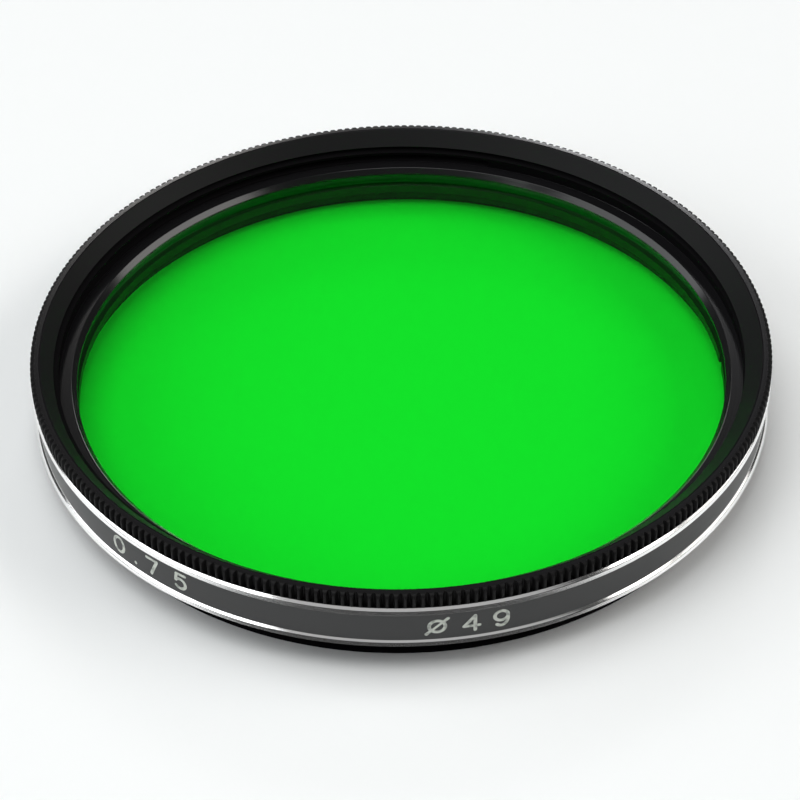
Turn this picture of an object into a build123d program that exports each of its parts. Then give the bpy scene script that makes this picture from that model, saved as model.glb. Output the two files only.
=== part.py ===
from build123d import *
import math
import os

# A screw-in colour filter for a camera lens, lying on its rear thread.
# Z is the optical axis and points out of the front. The origin is on it, in the rear face.
# The ring is turned from one bar: rear male thread, lettered band and knurled front rim.
# The glass disc drops in from behind against the inner flange, and a split spring ring,
# snapped into a groove behind it, keeps it there. The threads are plain cylinders here.

# Lens thread M49 x 0.75, the same at the front and at the rear
thread_major_diameter = 49.0
thread_pitch = 0.75
male_thread_allowance = 0.02
male_thread_length = 2.3
thread_end_chamfer = 0.1

# Ring, outside, from the rear upwards
ring_wall = 1.5
land_draft = 0.1
lower_land_height = 0.21
band_depth = 0.25
band_height = 2.42
upper_land_height = 0.22
shoulder_chamfer = 0.24
neck_height = 0.13

# Front rim with straight V grooves along the axis
knurl_height = 1.03
knurl_step = 0.05
knurl_teeth = 288
knurl_groove_depth = 0.36
knurl_crest_width = 0.14

# Ring, inside, from the front downwards
front_lead_in = 0.75
front_recess_depth = 2.25
flange_thickness = 0.5
flange_ledge = 0.6
flange_chamfer = 0.35
skirt_wall = 0.98
mouth_chamfer = 0.15

# Glass disc
glass_thickness = 2.0
glass_edge_chamfer = 0.15
glass_clearance = 0.05

# Split spring ring
spring_thickness = 0.65
spring_groove_depth = 0.25
spring_clearance = 0.03
spring_gap = 0.7
spring_gap_angle = 3.0

# Radii that follow from the sizes above
thread_radius = thread_major_diameter / 2
male_thread_radius = thread_radius - male_thread_allowance
female_thread_radius = thread_radius - 0.5413 * thread_pitch
ring_radius = thread_radius + ring_wall
band_radius = ring_radius - band_depth
land_top_radius = ring_radius - land_draft
shoulder_radius = land_top_radius - shoulder_chamfer
knurl_radius = ring_radius - knurl_step
front_face_radius = thread_radius + front_lead_in
seat_radius = male_thread_radius - skirt_wall
flange_radius = seat_radius - flange_ledge
glass_radius = seat_radius - glass_clearance
spring_groove_radius = seat_radius + spring_groove_depth

# Heights that follow from the sizes above
lower_land_top = male_thread_length + lower_land_height
band_bottom = lower_land_top + band_depth - land_draft
band_top = band_bottom + band_height
upper_land_top = band_top + upper_land_height
shoulder_top = upper_land_top + shoulder_chamfer
knurl_bottom = shoulder_top + neck_height
ring_height = knurl_bottom + knurl_height
lead_in_bottom = ring_height - (front_face_radius - female_thread_radius)
flange_top = ring_height - front_recess_depth
glass_top = flange_top - flange_thickness
glass_bottom = glass_top - glass_thickness
spring_groove_bottom = glass_bottom - spring_thickness - 2 * spring_clearance


def turned(section):
    """Solid of revolution about Z, from a closed outline of (radius, height) points."""
    outline = Polyline([(radius, 0, height) for radius, height in section], close=True)
    return revolve(make_face(outline), Axis.Z)


def ring_blank():
    """The turned ring before its rim is knurled."""
    outside = [
        (male_thread_radius - thread_end_chamfer, 0),
        (male_thread_radius, thread_end_chamfer),
        (male_thread_radius, male_thread_length),
        (ring_radius, male_thread_length),
        (land_top_radius, lower_land_top),
        (band_radius, band_bottom),
        (band_radius, band_top),
        (ring_radius, band_top),
        (land_top_radius, upper_land_top),
        (shoulder_radius, shoulder_top),
        (shoulder_radius, knurl_bottom),
        (knurl_radius, knurl_bottom),
        (knurl_radius, ring_height),
    ]
    inside = [
        (front_face_radius, ring_height),
        (female_thread_radius, lead_in_bottom),
        (female_thread_radius, flange_top),
        (flange_radius + flange_chamfer, flange_top),
        (flange_radius, flange_top - flange_chamfer),
        (flange_radius, glass_top),
        (seat_radius, glass_top),
        (seat_radius, glass_bottom),
        (spring_groove_radius, glass_bottom),
        (spring_groove_radius, spring_groove_bottom),
        (seat_radius, spring_groove_bottom),
        (seat_radius, mouth_chamfer),
        (seat_radius + mouth_chamfer, 0),
    ]
    return turned(outside + inside)


def knurl_outline():
    """Closed toothed outline. Its groove walls run on a little past the crests."""
    half_pitch = math.pi / knurl_teeth
    half_crest = knurl_crest_width / 2 / knurl_radius
    overrun = knurl_groove_depth * (half_crest / 2) / (half_pitch - half_crest)
    tooth_points = [
        (knurl_radius - knurl_groove_depth, -half_pitch),
        (knurl_radius + overrun, -half_crest / 2),
        (knurl_radius + overrun, half_crest / 2),
    ]
    points = []
    for tooth in range(knurl_teeth):
        for radius, turn in tooth_points:
            angle = 2 * half_pitch * tooth + turn
            points.append((radius * math.cos(angle), radius * math.sin(angle)))
    return Polyline(points, close=True)


def knurl_grooves():
    """All the V grooves of the front rim as one cutting solid."""
    around = make_face(Circle(ring_radius + ring_wall).edge())
    grooves = around - make_face(knurl_outline())
    return Pos(0, 0, knurl_bottom) * extrude(grooves, 2 * knurl_height)


def make_filter_ring():
    """Turned and knurled ring."""
    return ring_blank() - knurl_grooves()


def make_colour_glass():
    """Ground disc with a small chamfer at both edges."""
    disc = Pos(0, 0, glass_bottom) * Cylinder(
        glass_radius, glass_thickness, align=(Align.CENTER, Align.CENTER, Align.MIN)
    )
    return chamfer(disc.edges().filter_by(GeomType.CIRCLE), glass_edge_chamfer)


def make_retaining_ring():
    """Flat spring ring in its groove, with the gap that lets it be pressed in."""
    bottom = spring_groove_bottom + spring_clearance
    top = bottom + spring_thickness
    outer_radius = spring_groove_radius - spring_clearance
    band = turned(
        [(flange_radius, bottom), (outer_radius, bottom), (outer_radius, top), (flange_radius, top)]
    )
    gap = Pos(outer_radius, 0, bottom) * Box(outer_radius, spring_gap, 4 * spring_thickness)
    return band - Rot(0, 0, spring_gap_angle) * gap


parts = {
    "filter_ring": make_filter_ring(),
    "colour_glass": make_colour_glass(),
    "retaining_ring": make_retaining_ring(),
}

os.makedirs("parts", exist_ok=True)
for name, shape in parts.items():
    export_step(shape, f"parts/{name}.step")
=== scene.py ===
from math import cos, pi, radians, sin, sqrt
import bmesh
import bpy
from mathutils import Matrix, Vector


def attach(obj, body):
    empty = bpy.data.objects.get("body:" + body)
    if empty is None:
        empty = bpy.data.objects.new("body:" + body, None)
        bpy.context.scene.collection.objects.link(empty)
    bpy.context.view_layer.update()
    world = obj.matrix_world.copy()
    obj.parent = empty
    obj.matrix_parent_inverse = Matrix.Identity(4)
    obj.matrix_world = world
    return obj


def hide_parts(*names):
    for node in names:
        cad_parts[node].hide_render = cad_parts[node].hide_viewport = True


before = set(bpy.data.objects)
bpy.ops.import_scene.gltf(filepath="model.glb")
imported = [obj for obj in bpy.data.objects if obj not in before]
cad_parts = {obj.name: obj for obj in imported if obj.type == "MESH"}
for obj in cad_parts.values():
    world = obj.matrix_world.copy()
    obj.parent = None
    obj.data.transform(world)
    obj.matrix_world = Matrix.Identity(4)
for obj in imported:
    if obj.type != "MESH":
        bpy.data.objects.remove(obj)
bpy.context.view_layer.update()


# The table: a smooth white sheet that the filter lies on, wide enough to fill every view.
# Lengths here are in metres, as in the frame. The objects' own sizes below are in millimetres.
def material(name):
    """A new material, with its node tree and its Principled shader."""
    made = bpy.data.materials.new(name)
    made.use_nodes = True
    return made, made.node_tree, made.node_tree.nodes["Principled BSDF"]


def finished(bm, name, *materials):
    """A bmesh turned into an object of the scene."""
    mesh = bpy.data.meshes.new(name)
    bm.to_mesh(mesh)
    bm.free()
    for used in materials:
        mesh.materials.append(used)
    obj = bpy.data.objects.new(name, mesh)
    bpy.context.scene.collection.objects.link(obj)
    return obj


TABLE_HALF_WIDTH = 3.0
TABLE_WHITE = (0.94, 0.95, 0.95, 1)

table_paint, table_tree, table_shader = material("white_table")
table_shader.inputs["Base Color"].default_value = TABLE_WHITE
table_shader.inputs["Roughness"].default_value = 0.6
table_shader.inputs["Specular IOR Level"].default_value = 0.2
table_mesh = bmesh.new()
bmesh.ops.create_grid(table_mesh, x_segments=1, y_segments=1, size=TABLE_HALF_WIDTH)
table = finished(table_mesh, "table", table_paint)


# The filter ring: one aluminium turning, anodised black, with broken edges. A thread tool cuts both
# lens threads, and a straight knurl goes round the front rim. The band is filled with grey enamel,
# and the lands and chamfers beside it are cut bright. Sizes are in mm, as in the part's source.
MM = 0.001
THREAD_PITCH = 0.75
THREAD_MAJOR_RADIUS = 24.5
THREAD_DEPTH = 0.406
STEPS_IN_A_TURN = 180
RING_RADIUS = 26.0
RING_HEIGHT = 6.7
MALE_THREAD_RADIUS = 24.48
MALE_THREAD_LENGTH = 2.3
THREAD_END_CHAMFER = 0.1
LAND_DRAFT = 0.1
LOWER_LAND_TOP = 2.51
BAND_RADIUS = 25.75
BAND_BOTTOM = 2.66
BAND_TOP = 5.08
UPPER_LAND_TOP = 5.3
SHOULDER_RADIUS = 25.66
SHOULDER_TOP = 5.54
KNURL_RADIUS = 25.95
KNURL_BOTTOM = 5.67
KNURL_CORNER_ROUND = 0.28
KNURL_TEETH = 288
KNURL_GROOVE_DEPTH = 0.36
KNURL_TOOL_HEIGHT = 1.5
FACE_INNER_RADIUS = 25.25
FACE_INNER_ROUND = 0.08
BORE_RADIUS = THREAD_MAJOR_RADIUS - THREAD_DEPTH
FLANGE_TOP = 4.45
FLANGE_BOTTOM = 3.95
FLANGE_RADIUS = 22.9
FLANGE_CHAMFER = 0.35
SEAT_RADIUS = 23.5
GLASS_BOTTOM = 1.95
GROOVE_RADIUS = 23.75
GROOVE_BOTTOM = 1.24
MOUTH_CHAMFER = 0.15
EDGE_BREAK = 0.025
LAND_EDGE_BREAK = 0.004
RING_STEPS = 288
MARK_DEPTH = 0.01 * MM
ANODISED_BLACK = (0.007, 0.0068, 0.0075, 1)
THREAD_BLACK = (0.004, 0.0036, 0.0042, 1)
LEAD_IN_BLACK = (0.009, 0.0087, 0.0093, 1)
KNURL_BLACK = (0.010, 0.0097, 0.010, 1)
BAND_GREY = (0.017, 0.017, 0.0175, 1)
BRIGHT = (0.93, 0.925, 0.92, 1)


def turned(outline, steps, edge_break, rounded=()):
    """A closed outline of (radius, height) points, spun round Z.

    Each corner is broken by edge_break, apart from those in rounded, each given as a corner, an
    offset and a number of segments.
    """
    bm = bmesh.new()
    corners = [bm.verts.new((radius * MM, 0, height * MM)) for radius, height in outline]
    bm.faces.new(corners)
    apart = [(corners[outline.index(corner)], offset, segments) for corner, offset, segments in rounded]
    broken = [vert for vert in corners if vert not in [corner for corner, offset, segments in apart]]
    bmesh.ops.bevel(
        bm, geom=broken, offset=edge_break * MM, segments=2, profile=0.5, affect="VERTICES", material=-1
    )
    for corner, offset, segments in apart:
        bmesh.ops.bevel(
            bm, geom=[corner], offset=offset * MM, segments=segments, profile=0.5, affect="VERTICES",
            material=-1,
        )
    bmesh.ops.delete(bm, geom=list(bm.faces), context="FACES_ONLY")
    bmesh.ops.spin(
        bm, geom=list(bm.verts) + list(bm.edges), axis=(0, 0, 1), cent=(0, 0, 0), angle=2 * pi,
        steps=steps, use_merge=True,
    )
    bmesh.ops.remove_doubles(bm, verts=list(bm.verts), dist=1e-7)
    bmesh.ops.recalc_face_normals(bm, faces=list(bm.faces))
    return bm


def thread_tool(outline, middle, turns, start):
    """The helix that a tool of the given (radius, height) outline sweeps.

    Its middle starts at a height and an angle, and climbs by one pitch in each turn.
    """
    steps = round(turns * STEPS_IN_A_TURN)
    bm = bmesh.new()
    corners = [bm.verts.new((radius * MM, 0, (middle + height) * MM)) for radius, height in outline]
    bm.faces.new(corners)
    bmesh.ops.rotate(bm, verts=corners, cent=(0, 0, 0), matrix=Matrix.Rotation(start, 3, "Z"))
    bmesh.ops.spin(
        bm, geom=list(bm.verts) + list(bm.edges) + list(bm.faces), axis=(0, 0, 1), cent=(0, 0, 0),
        dvec=(0, 0, THREAD_PITCH * MM * turns / steps), angle=2 * pi * turns, steps=steps,
    )
    bmesh.ops.remove_doubles(bm, verts=list(bm.verts), dist=1e-7)
    bmesh.ops.recalc_face_normals(bm, faces=list(bm.faces))
    return bm


def knurl_tool():
    """All the grooves of the front rim, from the half width of one at each height above its root.

    The root is rounded, and the walls curve outwards near the top, which rounds the crests.
    """
    wall = [(0, 0), (0.02, 0.05), (0.08, 0.1), (0.25, 0.17), (0.32, 0.203), (0.352, 0.25), (0.6, 0.25)]
    groove = [(rise, -half) for rise, half in wall] + [(rise, half) for rise, half in reversed(wall[1:])]
    root = KNURL_RADIUS - KNURL_GROOVE_DEPTH
    bm = bmesh.new()
    for tooth in range(KNURL_TEETH):
        turn = Matrix.Rotation(2 * pi * (tooth + 0.5) / KNURL_TEETH, 3, "Z")
        bm.faces.new([bm.verts.new(turn @ Vector((root + x, y, KNURL_BOTTOM)) * MM) for x, y in groove])
    raised = bmesh.ops.extrude_face_region(bm, geom=list(bm.faces))
    top = [item for item in raised["geom"] if isinstance(item, bmesh.types.BMVert)]
    bmesh.ops.translate(bm, verts=top, vec=(0, 0, KNURL_TOOL_HEIGHT * MM))
    bmesh.ops.recalc_face_normals(bm, faces=list(bm.faces))
    return bm


def cut(obj, tool_mesh):
    """Cut obj with a bmesh, which is used up."""
    tool = finished(tool_mesh, "tool")
    step = obj.modifiers.new("cut", "BOOLEAN")
    step.operation = "DIFFERENCE"
    step.solver = "EXACT"
    step.object = tool
    result = bpy.data.meshes.new_from_object(obj.evaluated_get(bpy.context.evaluated_depsgraph_get()))
    obj.modifiers.clear()
    obj.data = result
    bpy.data.objects.remove(tool)


def turning_marks(tree, fineness, strength):
    """Bump from a lathe tool: the same all the way round, and different at each radius and height."""
    nodes, links = tree.nodes, tree.links
    place = nodes.new("ShaderNodeTexCoord")
    parts = nodes.new("ShaderNodeSeparateXYZ")
    links.new(place.outputs["Object"], parts.inputs[0])
    flat = nodes.new("ShaderNodeCombineXYZ")
    links.new(parts.outputs["X"], flat.inputs["X"])
    links.new(parts.outputs["Y"], flat.inputs["Y"])
    radius = nodes.new("ShaderNodeVectorMath")
    radius.operation = "LENGTH"
    links.new(flat.outputs[0], radius.inputs[0])
    section = nodes.new("ShaderNodeCombineXYZ")
    links.new(radius.outputs["Value"], section.inputs["X"])
    links.new(parts.outputs["Z"], section.inputs["Y"])
    noise = nodes.new("ShaderNodeTexNoise")
    noise.inputs["Scale"].default_value = fineness
    noise.inputs["Detail"].default_value = 2
    links.new(section.outputs[0], noise.inputs["Vector"])
    bump = nodes.new("ShaderNodeBump")
    bump.inputs["Strength"].default_value = strength
    bump.inputs["Distance"].default_value = MARK_DEPTH
    links.new(noise.outputs["Fac"], bump.inputs["Height"])
    return bump


def black_finish(name, colour, roughness, specular):
    """A black coat that the lathe marks show through."""
    coat, tree, shader = material(name)
    shader.inputs["Base Color"].default_value = colour
    shader.inputs["Roughness"].default_value = roughness
    shader.inputs["Specular IOR Level"].default_value = specular
    tree.links.new(turning_marks(tree, 12000, 0.25).outputs[0], shader.inputs["Normal"])
    return coat


anodised = black_finish("black_anodised", ANODISED_BLACK, 0.16, 0.5)
thread_black = black_finish("matt_black_threads", THREAD_BLACK, 0.6, 0.02)
lead_in_black = black_finish("matt_black_lead_in", LEAD_IN_BLACK, 0.5, 0.1)
knurl_black = black_finish("matt_black_knurl", KNURL_BLACK, 0.35, 0.07)

enamel, enamel_tree, enamel_shader = material("grey_band_enamel")
enamel_shader.inputs["Base Color"].default_value = BAND_GREY
enamel_shader.inputs["Roughness"].default_value = 0.33
enamel_tree.links.new(turning_marks(enamel_tree, 7000, 0.2).outputs[0], enamel_shader.inputs["Normal"])

bright_cut, bright_tree, bright_shader = material("bright_cut_metal")
bright_shader.inputs["Base Color"].default_value = BRIGHT
bright_shader.inputs["Metallic"].default_value = 1
bright_shader.inputs["Roughness"].default_value = 0.1
bright_tree.links.new(turning_marks(bright_tree, 20000, 0.12).outputs[0], bright_shader.inputs["Normal"])

ring = finished(turned([
    (MALE_THREAD_RADIUS - THREAD_END_CHAMFER, 0),
    (MALE_THREAD_RADIUS, THREAD_END_CHAMFER),
    (MALE_THREAD_RADIUS, MALE_THREAD_LENGTH),
    (RING_RADIUS, MALE_THREAD_LENGTH),
    (RING_RADIUS - LAND_DRAFT, LOWER_LAND_TOP),
    (BAND_RADIUS, BAND_BOTTOM),
    (BAND_RADIUS, BAND_TOP),
    (RING_RADIUS, BAND_TOP),
    (RING_RADIUS - LAND_DRAFT, UPPER_LAND_TOP),
    (SHOULDER_RADIUS, SHOULDER_TOP),
    (SHOULDER_RADIUS, KNURL_BOTTOM),
    (KNURL_RADIUS, KNURL_BOTTOM),
    (KNURL_RADIUS, RING_HEIGHT),
    (FACE_INNER_RADIUS, RING_HEIGHT),
    (BORE_RADIUS, RING_HEIGHT - FACE_INNER_RADIUS + BORE_RADIUS),
    (BORE_RADIUS, FLANGE_TOP),
    (FLANGE_RADIUS + FLANGE_CHAMFER, FLANGE_TOP),
    (FLANGE_RADIUS, FLANGE_TOP - FLANGE_CHAMFER),
    (FLANGE_RADIUS, FLANGE_BOTTOM),
    (SEAT_RADIUS, FLANGE_BOTTOM),
    (SEAT_RADIUS, GLASS_BOTTOM),
    (GROOVE_RADIUS, GLASS_BOTTOM),
    (GROOVE_RADIUS, GROOVE_BOTTOM),
    (SEAT_RADIUS, GROOVE_BOTTOM),
    (SEAT_RADIUS, MOUTH_CHAMFER),
    (SEAT_RADIUS + MOUTH_CHAMFER, 0),
], RING_STEPS, EDGE_BREAK, [
    ((KNURL_RADIUS, RING_HEIGHT), KNURL_CORNER_ROUND, 8),
    ((FACE_INNER_RADIUS, RING_HEIGHT), FACE_INNER_ROUND, 5),
    ((RING_RADIUS, BAND_TOP), LAND_EDGE_BREAK, 2),
    ((RING_RADIUS, MALE_THREAD_LENGTH), LAND_EDGE_BREAK, 2),
]), "filter_ring_finish")

FRONT_THREAD_TOOL = [
    (23.9, -0.3), (24.06, -0.3), (24.5, -0.047), (24.5, 0.047), (24.06, 0.3), (23.9, 0.3),
]
FRONT_THREAD_MIDDLE = 4.75
FRONT_THREAD_TURNS = 2.9
FRONT_THREAD_START = radians(73)
REAR_THREAD_TOOL = [
    (24.7, -0.3), (24.5, -0.3), (24.09, -0.06), (24.09, 0.06), (24.5, 0.3), (24.7, 0.3),
]
REAR_THREAD_MIDDLE = -0.35
REAR_THREAD_TURNS = 3.1
REAR_THREAD_START = radians(-114)
cut(ring, knurl_tool())
cut(ring, thread_tool(FRONT_THREAD_TOOL, FRONT_THREAD_MIDDLE, FRONT_THREAD_TURNS, FRONT_THREAD_START))
cut(ring, thread_tool(REAR_THREAD_TOOL, REAR_THREAD_MIDDLE, REAR_THREAD_TURNS, REAR_THREAD_START))

ring.data.materials.clear()
for finish in (anodised, enamel, bright_cut, thread_black, lead_in_black, knurl_black):
    ring.data.materials.append(finish)
ENAMEL, METAL, THREADS, LEAD_IN, KNURL = 1, 2, 3, 4, 5
MARGIN = 0.02
HAIR = 0.001
for face in ring.data.polygons:
    radius = sqrt(face.center.x ** 2 + face.center.y ** 2) / MM
    height = face.center.z / MM
    below_front_face = height < RING_HEIGHT - HAIR
    if radius > BAND_RADIUS - 0.2 and MALE_THREAD_LENGTH + MARGIN < height < KNURL_BOTTOM - 0.03:
        face.material_index = METAL
    if BAND_RADIUS - 0.1 < radius < BAND_RADIUS + 0.005 and BAND_BOTTOM < height < BAND_TOP:
        face.material_index = ENAMEL
    if radius > KNURL_RADIUS - KNURL_GROOVE_DEPTH - MARGIN and height > KNURL_BOTTOM and below_front_face:
        face.material_index = KNURL
    if radius < FACE_INNER_RADIUS + 0.1 and height > FLANGE_TOP + 0.01 and below_front_face:
        on_lead_in = height > RING_HEIGHT - FACE_INNER_RADIUS + radius - 0.03
        face.material_index = LEAD_IN if on_lead_in else THREADS
    on_skirt = SEAT_RADIUS + MOUTH_CHAMFER < radius < MALE_THREAD_RADIUS + MARGIN
    if on_skirt and height < MALE_THREAD_LENGTH - HAIR:
        face.material_index = THREADS

ring.data.shade_smooth()
ring.data.set_sharp_from_angle(angle=radians(4))
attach(ring, "root")
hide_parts("filter_ring")


# The white in the lettering: enamel that fills engraved strokes in the band and stands a hair
# above it. It is thin in places, so the strokes are uneven and a little worn.
STROKE_WIDTH = 0.24
FILL_DEPTH = 0.05
FILL_RISE = 0.012
CHARACTER_MIDDLE = 3.75
CHARACTER_STROKES = {
    "diameter": [(0.52, 0.5, 0, 360, 0, 0), [(-0.7, -0.66), (0.7, 0.66)]],
    "0": [(0.47, 0.63, 0, 360, 0, 0)],
    "4": [[(0.22, 0.62), (-0.5, -0.26)], [(-0.5, -0.26), (0.5, -0.26)], [(0.22, 0.62), (0.22, -0.65)]],
    "5": [
        [(0.4, 0.63), (-0.28, 0.63)], [(-0.28, 0.63), (-0.36, 0.06)], (0.42, 0.42, 145, -145, -0.02, -0.2),
    ],
    "7": [[(-0.44, 0.63), (0.45, 0.63)], [(0.45, 0.63), (-0.12, -0.65)]],
    "9": [(0.44, 0.41, 0, 360, 0, 0.23), (0.45, 0.64, 12, -128, -0.01, 0)],
    "point": [[(0, -0.6), (0, -0.64)]],
}
BAND_CHARACTERS = [
    ("0", -136.6), ("point", -133.1), ("7", -129.6), ("5", -124.3),
    ("diameter", -85.55), ("4", -80.6), ("9", -76.3),
]
LETTER_WHITE = (0.60, 0.63, 0.57, 1)
LETTER_THIN = (0.30, 0.32, 0.29, 1)


def stroke_points(stroke):
    """The points along a stroke, and whether it closes on itself.

    A list of points is a straight stroke, and a tuple is an arc: half width, half height, the angles
    it runs from and to, and its centre.
    """
    if isinstance(stroke, list):
        return stroke, False
    half_width, half_height, start, end, x, y = stroke
    steps = max(6, round(abs(end - start) / 15))
    turns = [radians(start + (end - start) * step / steps) for step in range(steps + 1)]
    points = [(x + half_width * cos(turn), y + half_height * sin(turn)) for turn in turns]
    closed = abs(end - start) == 360
    return (points[:-1] if closed else points), closed


def add_stroke(curve, stroke):
    """One stroke of round section. The ends of an open one are rounded off."""
    points, closed = stroke_points(stroke)
    widths = [1] * len(points)
    if not closed:
        first = (Vector(points[0]) - Vector(points[1])).normalized() * STROKE_WIDTH / 2
        last = (Vector(points[-1]) - Vector(points[-2])).normalized() * STROKE_WIDTH / 2
        rounding = [(0.99, 0.14), (0.8, 0.6), (0.45, 0.89)]
        head = [tuple(Vector(points[0]) + first * along) for along, width in rounding]
        tail = [tuple(Vector(points[-1]) + last * along) for along, width in reversed(rounding)]
        head_widths = [width for along, width in rounding]
        points = head + points + tail
        widths = head_widths + widths + head_widths[::-1]
    spline = curve.splines.new("POLY")
    spline.points.add(len(points) - 1)
    for point, (x, y), width in zip(spline.points, points, widths):
        point.co = (x * MM, y * MM, 0, 1)
        point.radius = width
    spline.use_cyclic_u = closed


def band_lettering(depth, rise):
    """The characters as round strokes wrapped on the band, sunk by depth and standing out by rise."""
    bm = bmesh.new()
    for character, angle in BAND_CHARACTERS:
        curve = bpy.data.curves.new("strokes", "CURVE")
        curve.dimensions = "3D"
        curve.bevel_depth = STROKE_WIDTH / 2 * MM
        curve.bevel_resolution = 2
        curve.use_fill_caps = True
        for stroke in CHARACTER_STROKES[character]:
            add_stroke(curve, stroke)
        drawn = bpy.data.objects.new("strokes", curve)
        flat = bpy.data.meshes.new_from_object(drawn)
        letter = bmesh.new()
        letter.from_mesh(flat)
        bmesh.ops.remove_doubles(letter, verts=list(letter.verts), dist=1e-7)
        bmesh.ops.recalc_face_normals(letter, faces=list(letter.faces))
        for vert in letter.verts:
            turn = radians(angle) + vert.co.x / (BAND_RADIUS * MM)
            share = vert.co.z / (STROKE_WIDTH / 2 * MM)
            radius = BAND_RADIUS + (share * rise if share > 0 else share * depth)
            height = CHARACTER_MIDDLE * MM + vert.co.y
            vert.co = (radius * MM * cos(turn), radius * MM * sin(turn), height)
        letter.to_mesh(flat)
        letter.free()
        bm.from_mesh(flat)
        bpy.data.objects.remove(drawn)
        bpy.data.meshes.remove(flat)
    return bm


white_enamel, white_tree, white_shader = material("white_letter_enamel")
white_shader.inputs["Roughness"].default_value = 0.55
where = white_tree.nodes.new("ShaderNodeTexCoord")
patches = white_tree.nodes.new("ShaderNodeTexNoise")
patches.inputs["Scale"].default_value = 2600
patches.inputs["Detail"].default_value = 3
white_tree.links.new(where.outputs["Object"], patches.inputs["Vector"])
wear = white_tree.nodes.new("ShaderNodeValToRGB")
wear.color_ramp.elements[0].position = 0.36
wear.color_ramp.elements[0].color = LETTER_THIN
wear.color_ramp.elements[1].position = 0.54
wear.color_ramp.elements[1].color = LETTER_WHITE
white_tree.links.new(patches.outputs["Fac"], wear.inputs["Fac"])
white_tree.links.new(wear.outputs["Color"], white_shader.inputs["Base Color"])

lettering = finished(band_lettering(FILL_DEPTH, FILL_RISE), "band_lettering_fill", white_enamel)
lettering.data.shade_smooth()
lettering.data.set_sharp_from_angle(angle=radians(28))
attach(lettering, "root")


# The colour glass: a disc of green glass, dyed through, with ground edges. It lies against the
# inner flange. Lamps reach the table through it, so it lets shadow and diffuse rays pass, tinted.
GLASS_TINT = (0.065, 0.93, 0.15, 1)
GROUND_GREEN = (0.004, 0.06, 0.012, 1)
GLASS_INDEX = 1.52

green, green_tree, green_shader = material("green_glass")
green_shader.inputs["Base Color"].default_value = GLASS_TINT
green_shader.inputs["Roughness"].default_value = 0
green_shader.inputs["IOR"].default_value = GLASS_INDEX
green_shader.inputs["Transmission Weight"].default_value = 1
ray = green_tree.nodes.new("ShaderNodeLightPath")
clear = green_tree.nodes.new("ShaderNodeBsdfTransparent")
clear.inputs["Color"].default_value = [sqrt(share) for share in GLASS_TINT]
for_diffuse = green_tree.nodes.new("ShaderNodeMixShader")
green_tree.links.new(ray.outputs["Is Diffuse Ray"], for_diffuse.inputs[0])
green_tree.links.new(green_shader.outputs[0], for_diffuse.inputs[1])
green_tree.links.new(clear.outputs[0], for_diffuse.inputs[2])
for_shadow = green_tree.nodes.new("ShaderNodeMixShader")
green_tree.links.new(ray.outputs["Is Shadow Ray"], for_shadow.inputs[0])
green_tree.links.new(for_diffuse.outputs[0], for_shadow.inputs[1])
green_tree.links.new(clear.outputs[0], for_shadow.inputs[2])
green_tree.links.new(for_shadow.outputs[0], green_tree.nodes["Material Output"].inputs["Surface"])

ground_edge, ground_tree, ground_shader = material("ground_glass_edge")
ground_shader.inputs["Base Color"].default_value = GROUND_GREEN
ground_shader.inputs["Roughness"].default_value = 0.7

GLASS_RADIUS = 23.45
GLASS_THICKNESS = 2.0
GLASS_CHAMFER = 0.15
glass_mesh = bmesh.new()
bmesh.ops.create_cone(
    glass_mesh, cap_ends=True, cap_tris=False, segments=RING_STEPS, radius1=GLASS_RADIUS * MM,
    radius2=GLASS_RADIUS * MM, depth=GLASS_THICKNESS * MM,
)
glass_middle = (0, 0, (GLASS_BOTTOM + GLASS_THICKNESS / 2) * MM)
bmesh.ops.translate(glass_mesh, verts=list(glass_mesh.verts), vec=glass_middle)
rims = [edge for edge in glass_mesh.edges if abs(edge.verts[0].co.z - edge.verts[1].co.z) < 1e-6]
bmesh.ops.bevel(
    glass_mesh, geom=rims, offset=GLASS_CHAMFER * MM, segments=1, profile=0.5, affect="EDGES",
    material=-1,
)
glass = finished(glass_mesh, "colour_glass_disc", green, ground_edge)
for face in glass.data.polygons:
    if abs(face.normal.z) < 0.9:
        face.material_index = 1
glass.data.shade_smooth()
glass.data.set_sharp_from_angle(angle=radians(28))
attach(glass, "root")
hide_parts("colour_glass")


# The retaining ring: a flat spring ring with a gap, blackened, snapped into its groove behind
# the glass. The frame's own solid has its form, so only the finish is new.
SPRING_BLACK = (0.013, 0.013, 0.013, 1)

spring_black, spring_tree, spring_shader = material("blackened_spring_steel")
spring_shader.inputs["Base Color"].default_value = SPRING_BLACK
spring_shader.inputs["Metallic"].default_value = 0.2
spring_shader.inputs["Roughness"].default_value = 0.45
spring_tree.links.new(turning_marks(spring_tree, 9000, 0.2).outputs[0], spring_shader.inputs["Normal"])
spring = bpy.data.objects["retaining_ring"]
spring.data.materials.clear()
spring.data.materials.append(spring_black)


# The light: soft boxes above, at both sides and low down beside the table, a narrow one behind
# the camera, two windows and a pale wall behind the filter, and a dim room.
COOL = (0.97, 0.99, 1)
WARM = (1, 0.985, 0.96)
WHITE = (1, 1, 1)


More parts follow.
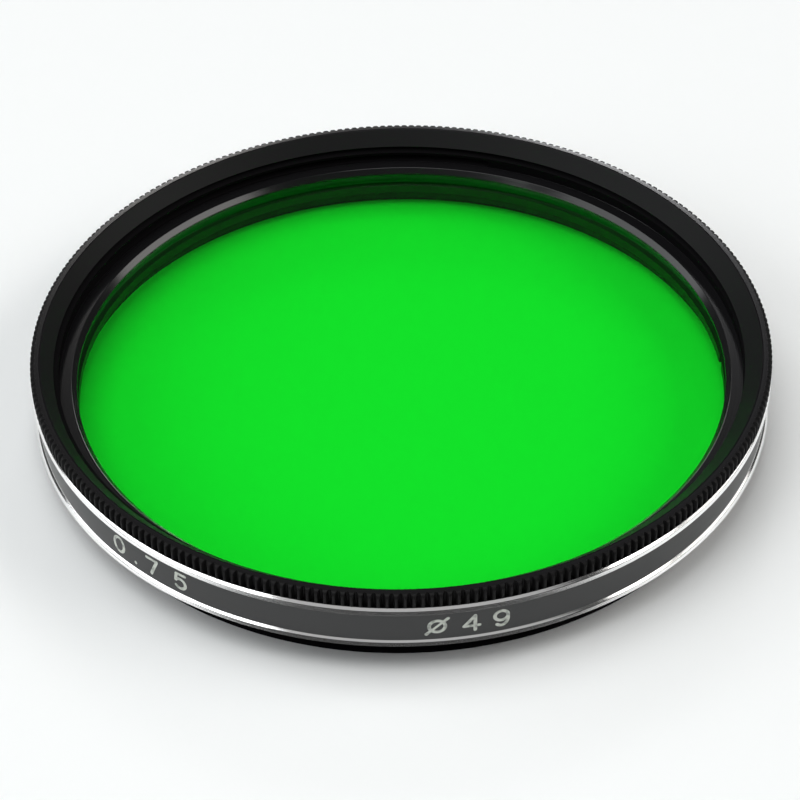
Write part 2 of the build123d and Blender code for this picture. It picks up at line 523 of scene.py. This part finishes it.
def soft_box(name, azimuth, elevation, distance, width, height, strength, colour, tilt=0):
    """An area lamp that faces the filter.

    Azimuth is in degrees clockwise from +Y. Elevation and tilt, the turn of the lamp in its own
    plane, are in degrees too. Strength is its radiance.
    """
    azimuth, elevation = radians(azimuth), radians(elevation)
    lamp = bpy.data.lights.new(name, "AREA")
    lamp.shape = "RECTANGLE"
    lamp.size = width
    lamp.size_y = height
    lamp.color = colour
    lamp.energy = strength * width * height * pi
    box = bpy.data.objects.new(name, lamp)
    box.location = distance * Vector(
        (cos(elevation) * sin(azimuth), cos(elevation) * cos(azimuth), sin(elevation))
    )
    facing = (-box.location).to_track_quat("-Z", "Y").to_matrix() @ Matrix.Rotation(radians(tilt), 3, "Z")
    box.rotation_euler = facing.to_euler()
    bpy.context.scene.collection.objects.link(box)


soft_box("top_box", -90, 78, 0.9, 0.85, 0.7, 2.55, (0.98, 1, 1))
soft_box("left_box", -98, 32, 0.75, 1.15, 0.42, 2.1, COOL)
soft_box("left_low_box", -98, 10, 0.8, 0.7, 0.14, 1.2, COOL)
soft_box("right_box", 92, 40, 0.75, 0.6, 0.33, 3.5, WARM)
soft_box("right_low_box", 92, 18, 0.8, 0.7, 0.2, 1.3, WARM)
soft_box("front_box", 180, 44, 0.9, 1.5, 0.16, 0.38, WHITE)
soft_box("back_box", 0, 31.2, 2.0, 1.0, 0.28, 0.5, WHITE)
soft_box("back_window_right", 6.8, 31.2, 2.0, 0.2, 0.28, 9.0, (0.98, 0.98, 1), 18)
soft_box("back_window_left", -7, 31.2, 2.0, 0.18, 0.28, 6.0, (1, 0.98, 0.95), -18)
room = bpy.data.worlds.new("room")
room.use_nodes = True
room.node_tree.nodes["Background"].inputs["Color"].default_value = (1, 1, 1, 1)
room.node_tree.nodes["Background"].inputs["Strength"].default_value = 0.05
bpy.context.scene.world = room


# The camera, in front of the table and looking down on the filter, as solved from the photo.
CAMERA_PLACE = Vector((0, -0.13643, 0.11817))
CAMERA_AIM = Vector((-0.00012, -0.00396, 0.004))
CAMERA_ROLL = radians(-1.018)
LENS = 112.81
SENSOR = 36
camera_data = bpy.data.cameras.new("camera")
camera_data.lens = LENS
camera_data.sensor_width = SENSOR
camera_data.clip_start = 0.01
camera = bpy.data.objects.new("camera", camera_data)
look = (CAMERA_AIM - CAMERA_PLACE).to_track_quat("-Z", "Y").to_matrix()
look = look @ Matrix.Rotation(CAMERA_ROLL, 3, "Z")
camera.matrix_world = Matrix.Translation(CAMERA_PLACE) @ look.to_4x4()
bpy.context.scene.collection.objects.link(camera)
bpy.context.scene.camera = camera
bpy.context.scene.view_settings.view_transform = "Standard"
